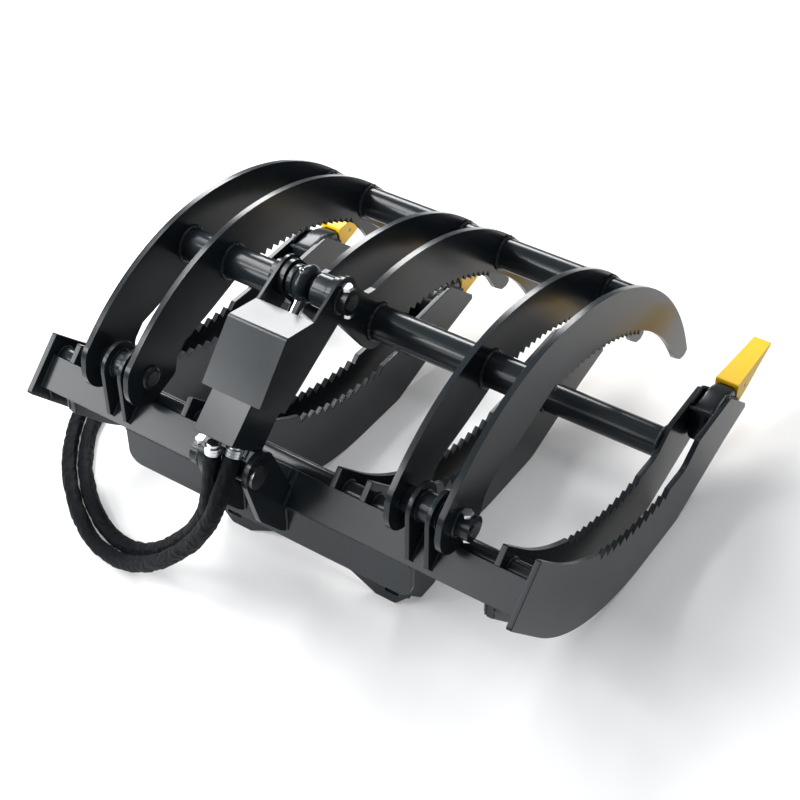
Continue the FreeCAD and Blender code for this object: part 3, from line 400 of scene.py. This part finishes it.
def paint(name, dark, light, rough, peel, dust, dust_colour):
    """Powder coat in one colour."""
    material, nodes, links, shader = new_material(name, rough)
    shader.inputs["Specular IOR Level"].default_value = 0.22
    coat = nodes.new("ShaderNodeGroup")
    coat.node_tree = powder_coat
    coat.inputs["Dust"].default_value = dust
    clean = blended(nodes, links, coat.outputs["Cloud"], dark, light)
    dusty = nodes.new("ShaderNodeMix")
    dusty.data_type = "RGBA"
    dusty.inputs["B"].default_value = (*dust_colour, 1)
    links.new(clean, dusty.inputs["A"])
    links.new(coat.outputs["Dust Mask"], dusty.inputs["Factor"])
    links.new(dusty.outputs["Result"], shader.inputs["Base Color"])
    spread = nodes.new("ShaderNodeMapRange")
    spread.inputs["To Min"].default_value = rough * 0.8
    spread.inputs["To Max"].default_value = rough * 1.3
    links.new(coat.outputs["Cloud"], spread.inputs["Value"])
    links.new(spread.outputs["Result"], shader.inputs["Roughness"])
    bumped(nodes, links, coat.outputs["Height"], peel, 0.0003, shader)
    return material


anthracite = paint("anthracite_coat", PAINT_DARK, PAINT_LIGHT, 0.20, 0.06, 0.05, DUST_GREY)


def eased(node, material, edge=CUT_EDGE, segments=2):
    """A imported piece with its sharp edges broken, standing for the plain one."""
    source = frame["nodes"][node]
    form = bmesh.new()
    form.from_mesh(source.data)
    bmesh.ops.remove_doubles(form, verts=form.verts, dist=TOUCHING)
    bmesh.ops.dissolve_limit(form, angle_limit=LEVEL, verts=form.verts, edges=form.edges)
    sharp = [line for line in form.edges if line.is_manifold and line.calc_face_angle() > SHARP]
    bmesh.ops.bevel(form, geom=sharp, offset=edge, offset_type="OFFSET", segments=segments, profile=0.5,
                    affect="EDGES", clamp_overlap=True)
    piece = mesh_piece(node + "_finished", form, material, source["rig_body"])
    level = piece.modifiers.new("flat_faces", "WEIGHTED_NORMAL")
    level.weight = 90
    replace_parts(piece, node)
    return piece


for tine in range(1, 5):
    for side in ("left", "right"):
        eased("tine_%d_%s_plate" % (tine, side), anthracite)
for tube in range(1, 4):
    eased("tine_cross_tube_%d" % tube, anthracite)


def ring_line(x, node, stand_off, turns=72):
    """Points round a tube or boss at x, just outside its skin."""
    low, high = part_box(node)
    middle = (low + high) / 2
    radius = (high.z - low.z) / 2 + stand_off
    points = []
    for turn in range(turns):
        angle = 2 * math.pi * turn / turns
        points.append(Vector((x, middle.y + radius * math.cos(angle), middle.z + radius * math.sin(angle))))
    return points


def straight_line(start, end, step=0.0014):
    """Points along a straight seam."""
    count = max(int((end - start).length / step), 2)
    return [start.lerp(end, index / count) for index in range(count + 1)]


BEAD_SIDES = 8
RIPPLE_PITCH = 0.0042


def weld(name, lines, radius, body, closed=False):
    """Weld beads along lines: overlapping ripples, each a little uneven."""
    form = bmesh.new()
    for line in lines:
        rings = []
        along = 0.0
        for index, point in enumerate(line):
            before = line[index - 1] if closed or index else point
            after = line[(index + 1) % len(line)] if closed or index < len(line) - 1 else point
            ahead = (after - before).normalized()
            first = ahead.orthogonal().normalized()
            if abs(ahead.x) < 0.9:
                first = (Vector((1, 0, 0)) - ahead * ahead.x).normalized()
            second = ahead.cross(first)
            along += (point - before).length if index else 0
            ripple = 0.12 * math.cos(2 * math.pi * along / RIPPLE_PITCH)
            uneven = 0.30 * noise.noise(point * 160)
            ring = []
            for side in range(BEAD_SIDES):
                angle = 2 * math.pi * side / BEAD_SIDES
                rough = 1 + ripple + uneven + 0.16 * noise.noise(point * 700 + Vector((angle, 0, 0)))
                outward = first * math.cos(angle) + second * math.sin(angle)
                ring.append(form.verts.new(point + outward * radius * rough))
            rings.append(ring)
        pairs = list(zip(rings, rings[1:]))
        if closed:
            pairs.append((rings[-1], rings[0]))
        else:
            form.faces.new(rings[0])
            form.faces.new(rings[-1])
        for low, high in pairs:
            for side in range(BEAD_SIDES):
                after = (side + 1) % BEAD_SIDES
                form.faces.new((low[side], low[after], high[after], high[side]))
    return mesh_piece(name, form, welded_coat, body)


welded_coat = paint("coated_weld", PAINT_DARK, (0.030, 0.036, 0.040), 0.16, 1.0, 0.05, DUST_GREY)

tine_rings = []
for tube in range(1, 4):
    node = "tine_cross_tube_%d" % tube
    low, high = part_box(node)
    tine_rings.append(ring_line(low.x + 0.002, node, 0.0015))
    tine_rings.append(ring_line(high.x - 0.002, node, 0.0015))
weld("tine_tube_welds", tine_rings, 0.0038, "frame", closed=True)

# ---------------------------------------------------------------- teeth
# Four forged digging teeth, painted yellow, each pushed on an adapter welded between the
# tips of a tine and held by one cross pin.

TOOTH_EDGE = 0.0022

# Cross-sections of an adapter from its root to its neck: y, top, bottom and half width.
ADAPTER_STATIONS = [(0.312, 0.172, 0.090, 0.0255), (0.318, 0.1765, 0.086, 0.0268),
                    (0.334, 0.1785, 0.080, 0.0270), (0.369, 0.1815, 0.077, 0.0270),
                    (0.400, 0.1740, 0.088, 0.0265), (0.426, 0.1640, 0.104, 0.0255),
                    (0.4375, 0.1590, 0.112, 0.0235)]
ADAPTER_SIDES = 32
ADAPTER_SQUARENESS = 0.38
HOLLOW_DEPTH = 0.0035
HOLLOW_END = 0.38
tooth_paint = paint("tooth_coat", (0.92, 0.50, 0.004), (1.0, 0.62, 0.012), 0.36, 0.35, 0.15, (0.8, 0.62, 0.3))
dark_steel = metal("oiled_steel", (0.10, 0.10, 0.11), (0.20, 0.20, 0.21), 0.34, 0.3)


def cast_adapter(form, middle):
    """Cast adapter of one tine: hollowed root between the plates, rounded all over, neck to the tooth."""
    rings = []
    for y, top, bottom, half in ADAPTER_STATIONS:
        centre = (top + bottom) / 2
        ring = []
        for side in range(ADAPTER_SIDES):
            angle = 2 * math.pi * side / ADAPTER_SIDES
            across = math.copysign(abs(math.cos(angle)) ** ADAPTER_SQUARENESS, math.cos(angle))
            upward = math.copysign(abs(math.sin(angle)) ** ADAPTER_SQUARENESS, math.sin(angle))
            dip = HOLLOW_DEPTH * (1 - across * across) if upward > 0 and y < HOLLOW_END else 0.0
            height = centre + (top - bottom) / 2 * upward - dip
            ring.append(form.verts.new((middle + half * across, y, height)))
        rings.append(ring)
    for low, high in zip(rings, rings[1:]):
        for side in range(ADAPTER_SIDES):
            after = (side + 1) % ADAPTER_SIDES
            form.faces.new((low[side], low[after], high[after], high[side]))
    form.faces.new(rings[0])
    form.faces.new(rings[-1])


adapters = bmesh.new()
for tine in range(1, 5):
    tooth_low, tooth_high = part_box("tooth_%d" % tine)
    cast_adapter(adapters, (tooth_low.x + tooth_high.x) / 2)
cast = mesh_piece("tooth_adapters_cast", adapters, anthracite, "frame")
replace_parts(cast, "tooth_adapters")
for tine in range(1, 5):
    eased("tooth_%d" % tine, tooth_paint, edge=TOOTH_EDGE, segments=3)
eased("tooth_lock_pins", dark_steel, edge=0.0008)

adapter_seams = []
for tine in range(1, 5):
    left_low, left_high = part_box("tine_%d_left_plate" % tine)
    right_low, right_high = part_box("tine_%d_right_plate" % tine)
    for x in (left_high.x - 0.001, right_low.x + 0.001):
        rise = straight_line(Vector((x, 0.3180, 0.1790)), Vector((x, 0.3660, 0.1860)))
        adapter_seams.append(rise + straight_line(Vector((x, 0.3690, 0.1860)), Vector((x, 0.4340, 0.1340))))
    adapter_seams.append(straight_line(Vector((left_high.x, 0.3130, 0.1730)),
                                       Vector((right_low.x, 0.3130, 0.1730))))
weld("adapter_welds", adapter_seams, 0.0046, "frame")

# ---------------------------------------------------------------- rear frame and hitch
# A sloping band carries everything at the rear. Below it stands the hook-over plate, and lower
# down the lug plate with two level slots and its cheeks; a round bar runs in front of the band.

for node in ("rear_band", "rear_cross_bar", "hitch_hook_plate", "hitch_lug_plate", "hitch_cheeks"):
    eased(node, anthracite)

BAND_TOP_REAR = Vector((0, -0.4614, 0.3600))
BAND_LOW_REAR = Vector((0, -0.5104, 0.3110))
EAR_FOOT = Vector((0, -0.5034, 0.3180))
hook_low, hook_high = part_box("hitch_hook_plate")
bar_low, bar_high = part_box("rear_cross_bar")
frame_seams = []
for x in (bar_low.x + 0.0015, bar_high.x - 0.0015):
    across = Vector((x, 0, 0))
    frame_seams.append(straight_line(across + BAND_TOP_REAR, across + BAND_LOW_REAR))
frame_seams.append(straight_line(Vector((hook_low.x + 0.003, hook_low.y - 0.001, hook_high.z)),
                                 Vector((hook_high.x - 0.003, hook_low.y - 0.001, hook_high.z))))
bar_rings = []
for tine in range(1, 5):
    for side in ("left", "right"):
        low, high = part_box("tine_%d_%s_plate" % (tine, side))
        for x in (low.x - 0.0015, high.x + 0.0015):
            if bar_low.x < x < bar_high.x:
                bar_rings.append(ring_line(x, "rear_cross_bar", 0.0012, turns=48))
                frame_seams.append(straight_line(Vector((x, hook_high.y + 0.001, 0.262)),
                                                 Vector((x, hook_high.y + 0.001, hook_high.z))))
lug_low, lug_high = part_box("hitch_lug_plate")
cheek_low, cheek_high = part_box("hitch_cheeks")
for x in (cheek_low.x + 0.009, cheek_high.x - 0.009):
    frame_seams.append(straight_line(Vector((x, lug_high.y + 0.001, 0.032)),
                                     Vector((x, lug_high.y + 0.001, 0.110))))
weld("frame_welds", frame_seams, 0.0032, "frame")
weld("cross_bar_welds", bar_rings, 0.0028, "frame", closed=True)

# ---------------------------------------------------------------- pivot ears and cylinder lugs
# Pointed ears stand on the band in two pairs, with a sleeve welded between each pair for the
# jaw's pin. Two curved lugs carry the cylinder's base pin and run down over the hook plate.

PIVOT_EARS = ("left_pivot_ear_a", "left_pivot_ear_b", "right_pivot_ear_a", "right_pivot_ear_b")
CYLINDER_LUGS = ("cylinder_lug_left", "cylinder_lug_right")

for name in PIVOT_EARS + ("pivot_sleeves",) + CYLINDER_LUGS:
    eased(name, anthracite)

ear_seams = []
sleeve_rings = []
for name in PIVOT_EARS:
    low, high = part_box(name)
    for x in (low.x - 0.0012, high.x + 0.0012):
        across = Vector((x, 0, 0))
        ear_seams.append(straight_line(across + BAND_TOP_REAR, across + EAR_FOOT))
        sleeve_rings.append(ring_line(x, "pivot_sleeves", 0.0016, turns=60))
for name in CYLINDER_LUGS:
    low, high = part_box(name)
    for x in (low.x - 0.0012, high.x + 0.0012):
        across = Vector((x, 0, 0))
        ear_seams.append(straight_line(across + BAND_LOW_REAR, across + BAND_TOP_REAR))
        ear_seams.append(straight_line(Vector((x, hook_low.y - 0.001, 0.300)),
                                       Vector((x, hook_low.y - 0.001, 0.243))))
weld("ear_welds", ear_seams, 0.0034, "frame")
weld("sleeve_welds", sleeve_rings, 0.0016, "frame", closed=True)

# ---------------------------------------------------------------- jaw
# The jaw is three pairs of curved plates with saw teeth inside and a hooked tip, joined by two
# cross tubes that are welded all round at every plate.

JAW_PLATES = ("left_jaw_outer_plate", "left_jaw_inner_plate",
              "middle_jaw_left_plate", "middle_jaw_right_plate",
              "right_jaw_inner_plate", "right_jaw_outer_plate")

for name in JAW_PLATES + ("rear_jaw_tube", "front_jaw_tube"):
    eased(name, anthracite)

jaw_rings = []
for tube in ("rear_jaw_tube", "front_jaw_tube"):
    tube_low, tube_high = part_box(tube)
    for name in JAW_PLATES:
        low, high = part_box(name)
        for x in (low.x - 0.0018, high.x + 0.0018):
            if tube_low.x - 0.001 < x < tube_high.x + 0.001:
                jaw_rings.append(ring_line(x, tube, 0.0016))
weld("jaw_tube_welds", jaw_rings, 0.0042, "jaw", closed=True)

# ---------------------------------------------------------------- jaw pivots
# Two 30 mm pins turn in the sleeves. Each is held by a boss welded to a jaw plate and one
# zinc-plated bolt through boss and pin, with spacers beside the ears.

for name in ("left_pivot_pin", "right_pivot_pin"):
    eased(name, dark_steel, edge=0.0016)
for name in ("pivot_spacers", "pivot_bosses"):
    eased(name, anthracite)
eased("pivot_bolts", zinc, edge=0.0010)

left_outer_low, left_outer_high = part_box("left_jaw_outer_plate")
right_outer_low, right_outer_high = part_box("right_jaw_outer_plate")
boss_rings = [ring_line(left_outer_low.x - 0.0015, "pivot_bosses", 0.0012, turns=60),
              ring_line(right_outer_high.x + 0.0015, "pivot_bosses", 0.0012, turns=60)]
weld("pivot_boss_welds", boss_rings, 0.0032, "jaw", closed=True)
left_inner_low, left_inner_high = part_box("left_jaw_inner_plate")
right_inner_low, right_inner_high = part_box("right_jaw_inner_plate")
pin_rings = [ring_line(left_inner_high.x + 0.0025, "left_pivot_pin", 0.0030, turns=60),
             ring_line(right_inner_low.x - 0.0025, "right_pivot_pin", 0.0030, turns=60)]
weld("pivot_pin_welds", pin_rings, 0.0058, "jaw", closed=True)

# ---------------------------------------------------------------- cylinder
# The cylinder turns on its base pin between the lugs. Barrel and gland are painted and machined
# steel, and the rod is hard chrome, ground smooth, with a rounded eye and a grease nipple.

chrome = metal("hard_chrome", (0.74, 0.75, 0.77), (0.80, 0.81, 0.82), 0.07, 0.03)

eased("base_pin", dark_steel, edge=0.0015)
eased("base_pin_boss", anthracite)
eased("base_pin_bolt", zinc, edge=0.0010)
eased("base_pin_spacers", dark_steel, edge=0.0008)
eased("cylinder_barrel", anthracite)
eased("cylinder_gland", dark_steel, edge=0.0008)
eased("piston_rod", chrome, edge=0.0006)

eye_low, eye_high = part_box("rod_eye")
eye_pin_low, eye_pin_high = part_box("eye_pin")
eye_axis = Vector((eye_low.x, (eye_pin_low.y + eye_pin_high.y) / 2, (eye_pin_low.z + eye_pin_high.z) / 2))
EYE_WIDTH = eye_high.x - eye_low.x
EYE_BORE = 0.0155
EYE_SHOULDER = 0.0285
EYE_CROWN = 0.038
EYE_STEPS = 16
EYE_CHAMFER = 0.0006
ball = [(0, EYE_BORE), (0, EYE_SHOULDER - 0.002), (EYE_CHAMFER, EYE_SHOULDER)]
for step in range(1, EYE_STEPS):
    share = step / EYE_STEPS
    ball.append((EYE_CHAMFER + (EYE_WIDTH - 2 * EYE_CHAMFER) * share,
                 EYE_SHOULDER + (EYE_CROWN - EYE_SHOULDER) * math.sin(math.pi * share) ** 0.8))
ball += [(EYE_WIDTH - EYE_CHAMFER, EYE_SHOULDER), (EYE_WIDTH, EYE_SHOULDER - 0.002), (EYE_WIDTH, EYE_BORE)]
eye_form = bmesh.new()
lathed(eye_form, ball, eye_axis, Vector((1, 0, 0)), sides=56)
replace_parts(mesh_piece("rod_eye_ball", eye_form, anthracite, "rod"), "rod_eye")

NIPPLE = [(-0.002, 0.0045), (0.004, 0.0045), (0.004, 0.0030), (0.007, 0.0030),
          (0.0095, 0.0036), (0.012, 0.0026), (0.013, 0.0010), (0.013, 0)]
nipple_form = bmesh.new()
upward = Vector((0, -0.35, 0.94)).normalized()
nipple_foot = eye_axis + Vector((EYE_WIDTH / 2, 0, 0)) + upward * (EYE_CROWN - 0.001)
lathed(nipple_form, NIPPLE, nipple_foot, upward, sides=18)
mesh_piece("eye_grease_nipple", nipple_form, zinc, "rod")

base_boss_low, base_boss_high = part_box("base_pin_boss")
base_boss_ring = ring_line(base_boss_high.x - 0.0015, "base_pin_boss", 0.0012, turns=60)
weld("base_boss_weld", [base_boss_ring], 0.0030, "frame", closed=True)

# ---------------------------------------------------------------- rod-eye pin
# A 30 mm pin joins the rod eye to the horns of the middle jaw. Its left boss is welded on, and
# the right one is locked by a bolt; turned spacers fill the room between the horns.

eased("eye_pin", dark_steel, edge=0.0015)
eased("eye_pin_bosses", anthracite, edge=0.0015)
eased("eye_pin_spacers", anthracite, edge=0.0036, segments=4)
eased("eye_pin_bolt", zinc, edge=0.0010)

# ---------------------------------------------------------------- covers
# Bent sheet covers shield the rod: the lower one is a channel fixed on the barrel, and the
# upper one rides on the rod-eye pin and slides over it as the jaw closes.

eased("lower_cover", anthracite, edge=0.0014, segments=3)
eased("upper_cover", anthracite, edge=0.0014, segments=3)
upper_low, upper_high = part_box("upper_cover")
eye_boss_rings = [ring_line(upper_low.x - 0.0015, "eye_pin", 0.0118, turns=60),
                  ring_line(upper_high.x + 0.0015, "eye_pin", 0.0112, turns=60)]
weld("eye_boss_welds", eye_boss_rings, 0.0032, "rod", closed=True)

# ---------------------------------------------------------------- floor and light
# White studio floor. It keeps the soft shadow, and looks white to the eye and in the gloss of
# the paint, while it throws plain light back on the object.

FLOOR_REACH = 30.0
floor_form = bmesh.new()
bmesh.ops.create_grid(floor_form, x_segments=1, y_segments=1, size=FLOOR_REACH)
floor_mesh = bpy.data.meshes.new("studio_floor")
floor_form.to_mesh(floor_mesh)
floor_form.free()
floor = bpy.data.objects.new("studio_floor", floor_mesh)
floor.location = (0, 0, -0.0006)
bpy.context.scene.collection.objects.link(floor)

floor_white = bpy.data.materials.new("floor_white")
floor_white.use_nodes = True
nodes = floor_white.node_tree.nodes
links = floor_white.node_tree.links
floor_shader = nodes["Principled BSDF"]
floor_shader.inputs["Base Color"].default_value = (0.80, 0.80, 0.80, 1)
floor_shader.inputs["Roughness"].default_value = 0.9
floor_shader.inputs["Specular IOR Level"].default_value = 0.0
seen = nodes.new("ShaderNodeLightPath")
any_gloss = nodes.new("ShaderNodeMath")
any_gloss.operation = "MAXIMUM"
links.new(seen.outputs["Is Camera Ray"], any_gloss.inputs[0])
links.new(seen.outputs["Is Glossy Ray"], any_gloss.inputs[1])
any_clear = nodes.new("ShaderNodeMath")
any_clear.operation = "MAXIMUM"
links.new(any_gloss.outputs["Value"], any_clear.inputs[0])
links.new(seen.outputs["Is Transmission Ray"], any_clear.inputs[1])
lift = nodes.new("ShaderNodeMath")
lift.operation = "MULTIPLY"
lift.inputs[1].default_value = 0.20
links.new(any_clear.outputs["Value"], lift.inputs[0])
floor_shader.inputs["Emission Color"].default_value = (1, 1, 1, 1)
links.new(lift.outputs["Value"], floor_shader.inputs["Emission Strength"])
floor_mesh.materials.append(floor_white)


def lamp(name, place, aim, width, depth, power):
    """Rectangular studio lamp at a place, looking at a point."""
    data = bpy.data.lights.new(name, "AREA")
    data.shape = "RECTANGLE"
    data.size = width
    data.size_y = depth
    data.energy = power
    thing = bpy.data.objects.new(name, data)
    thing.location = place
    thing.rotation_euler = (Vector(aim) - Vector(place)).to_track_quat("-Z", "Y").to_euler()
    bpy.context.scene.collection.objects.link(thing)


lamp("rear_softbox", (-2.25, -2.5, 1.70), (-0.2, -0.5, 0.35), 1.7, 0.95, 70)
lamp("rear_upper", (-1.62, -2.25, 2.80), (0.0, -0.45, 0.55), 1.3, 0.6, 50)
lamp("rear_fill", (-0.75, -2.9, 2.05), (0.2, -0.5, 0.35), 1.0, 1.2, 19)
lamp("front_softbox", (-2.0, 2.6, 2.3), (0, 0.0, 0.5), 2.6, 1.1, 170)
lamp("rear_strip", (-1.2, -0.5, 2.3), (-0.3, -0.3, 0.5), 1.7, 0.28, 38)
lamp("top_softbox", (0.6, 0.6, 3.6), (0, 0, 0), 2.0, 2.0, 26)

world = bpy.data.worlds.new("studio")
world.use_nodes = True
world.node_tree.nodes["Background"].inputs["Color"].default_value = (0.80, 0.86, 0.95, 1)
world.node_tree.nodes["Background"].inputs["Strength"].default_value = 0.20
bpy.context.scene.world = world
bpy.context.scene.view_settings.view_transform = "Standard"
